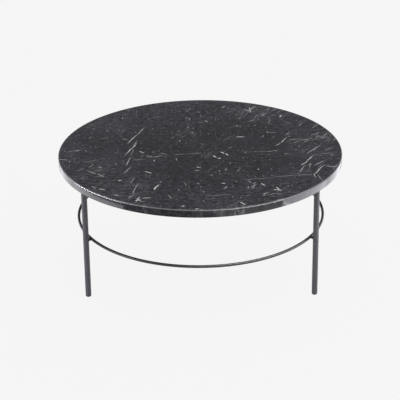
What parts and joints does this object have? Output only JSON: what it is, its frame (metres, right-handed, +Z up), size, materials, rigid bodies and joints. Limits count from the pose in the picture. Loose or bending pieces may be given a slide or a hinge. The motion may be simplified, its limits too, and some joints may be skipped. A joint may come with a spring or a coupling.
{
  "type": "coffee table",
  "caption": "Low round coffee table: a black marble slab with eased edges on slim round steel legs, braced at mid height by a thin steel ring.",
  "frame": {"origin": "on the floor, under the middle of the round top", "axes": "+Z up; -Y towards the side that shows two legs in front; +X to the right seen from there"},
  "size_m": [0.8999, 0.9, 0.41],
  "materials": {
    "black_marble": "polished",
    "powder_coat": "satin powder coat",
    "glide_plastic": "matte moulded",
    "pad_rubber": "matte",
    "zinc_steel": "zinc plated",
    "insert_brass": "turned"
  },
  "bodies": {
    "root": {"marble_top": "black_marble", "brace_ring": "powder_coat", "leg_front_left": "powder_coat", "mounting_plate_front_left": "powder_coat", "plate_pad_front_left": "pad_rubber", "ring_peg_front_left": "powder_coat", "foot_glide_front_left": "glide_plastic", "plate_screws_front_left": "zinc_steel", "plate_washers_front_left": "zinc_steel", "thread_inserts_front_left": "insert_brass", "leg_front_right": "powder_coat", "mounting_plate_front_right": "powder_coat", "plate_pad_front_right": "pad_rubber", "ring_peg_front_right": "powder_coat", "foot_glide_front_right": "glide_plastic", "plate_screws_front_right": "zinc_steel", "plate_washers_front_right": "zinc_steel", "thread_inserts_front_right": "insert_brass", "leg_back": "powder_coat", "mounting_plate_back": "powder_coat", "plate_pad_back": "pad_rubber", "ring_peg_back": "powder_coat", "foot_glide_back": "glide_plastic", "plate_screws_back": "zinc_steel", "plate_washers_back": "zinc_steel", "thread_inserts_back": "insert_brass"}
  },
  "joints": []
}
